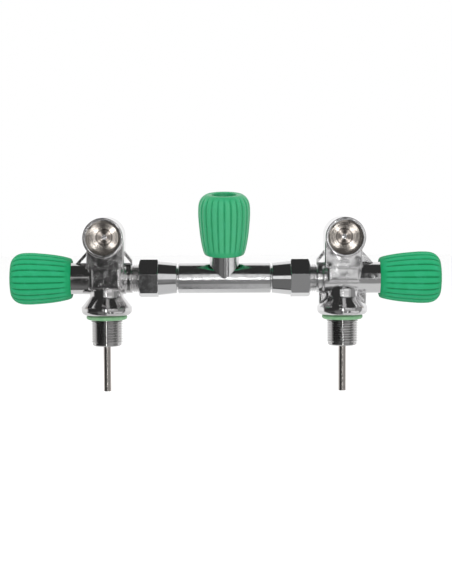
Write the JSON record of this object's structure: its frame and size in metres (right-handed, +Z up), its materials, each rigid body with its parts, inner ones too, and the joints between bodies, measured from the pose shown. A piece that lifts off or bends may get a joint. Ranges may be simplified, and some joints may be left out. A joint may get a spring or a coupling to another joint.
{
  "type": "scuba isolation manifold",
  "caption": "Twin cylinder valves with neck threads and front outlets, joined by a crossbar with an isolation valve, with ribbed rubber handwheels that turn.",
  "frame": {"origin": "centre of the left neck's sealing face, under its flange and on its thread's axis", "axes": "+X along the crossbar from the left valve to the right valve, +Y away from the outlets, +Z up from the cylinders"},
  "size_m": [0.3375, 0.0564, 0.1576],
  "materials": {
    "valve_chrome": "polished chrome plating on forged brass",
    "nut_chrome": "polished chrome plating with fine turning marks",
    "crossbar_chrome": "chrome plating, slightly satin along its length",
    "tube_chrome": "drawn tube with chrome plating",
    "grip_green": "moulded green rubber, satin, with lighter worn ribs",
    "seal_green": "muted green rubber, matt",
    "seal_black": "black nitrile rubber, matt",
    "hub_plastic": "black glass-filled plastic, matt",
    "white_plastic": "white fluoroplastic, matt",
    "bonnet_brass": "turned brass, bright",
    "spindle_brass": "turned brass, satin",
    "spring_steel": "bright stainless steel"
  },
  "bodies": {
    "manifold": {"crossbar": "crossbar_chrome", "left_valve_body": "valve_chrome", "left_neck_oring": "seal_green", "left_dip_tube": "tube_chrome", "left_coupling_nut": "nut_chrome", "left_retaining_ring": "spring_steel", "left_spigot_orings": "seal_black", "right_valve_body": "valve_chrome", "right_neck_oring": "seal_green", "right_dip_tube": "tube_chrome", "right_coupling_nut": "nut_chrome", "right_retaining_ring": "spring_steel", "right_spigot_orings": "seal_black", "left_bonnet": "bonnet_brass", "left_bonnet_oring": "seal_black", "left_thrust_washer": "white_plastic", "right_bonnet": "bonnet_brass", "right_bonnet_oring": "seal_black", "right_thrust_washer": "white_plastic", "isolator_bonnet": "bonnet_brass", "isolator_bonnet_oring": "seal_black", "isolator_thrust_washer": "white_plastic"},
    "left_handwheel": {"left_handwheel_grip": "grip_green", "left_handwheel_hub": "hub_plastic", "left_handwheel_spring": "spring_steel", "left_handwheel_nut": "spring_steel", "left_spindle": "spindle_brass", "left_spindle_orings": "seal_black"},
    "left_seat": {"left_seat_carrier": "spindle_brass", "left_seat_insert": "white_plastic"},
    "right_handwheel": {"right_handwheel_grip": "grip_green", "right_handwheel_hub": "hub_plastic", "right_handwheel_spring": "spring_steel", "right_handwheel_nut": "spring_steel", "right_spindle": "spindle_brass", "right_spindle_orings": "seal_black"},
    "right_seat": {"right_seat_carrier": "spindle_brass", "right_seat_insert": "white_plastic"},
    "isolator_handwheel": {"isolator_handwheel_grip": "grip_green", "isolator_handwheel_hub": "hub_plastic", "isolator_handwheel_spring": "spring_steel", "isolator_handwheel_nut": "spring_steel", "isolator_spindle": "spindle_brass", "isolator_spindle_orings": "seal_black"},
    "isolator_seat": {"isolator_seat_carrier": "spindle_brass", "isolator_seat_insert": "white_plastic"}
  },
  "joints": [
    {"name": "left_handwheel_turn", "type": "hinge", "parent": "manifold", "child": "left_handwheel", "pos_m": [0, 0, 0.0288], "axis": [-1, 0, 0], "range_deg": [0, 810]},
    {"name": "left_seat_travel", "type": "slide", "parent": "left_handwheel", "child": "left_seat", "axis": [-1, 0, 0], "range_m": [0, 0.0023]},
    {"name": "right_handwheel_turn", "type": "hinge", "parent": "manifold", "child": "right_handwheel", "pos_m": [0.186, 0, 0.0288], "axis": [1, 0, 0], "range_deg": [0, 810]},
    {"name": "right_seat_travel", "type": "slide", "parent": "right_handwheel", "child": "right_seat", "axis": [1, 0, 0], "range_m": [0, 0.0023]},
    {"name": "isolator_handwheel_turn", "type": "hinge", "parent": "manifold", "child": "isolator_handwheel", "pos_m": [0.093, 0, 0.0288], "axis": [0, -0.1392, 0.9903], "range_deg": [0, 810]},
    {"name": "isolator_seat_travel", "type": "slide", "parent": "isolator_handwheel", "child": "isolator_seat", "axis": [0, -0.1392, 0.9903], "range_m": [0, 0.0023]}
  ],
  "couplings": [
    {"joint": "left_seat_travel", "follows": "left_handwheel_turn", "m_per_rad": 0.00015915},
    {"joint": "right_seat_travel", "follows": "right_handwheel_turn", "m_per_rad": 0.00015915},
    {"joint": "isolator_seat_travel", "follows": "isolator_handwheel_turn", "m_per_rad": 0.00015915}
  ]
}
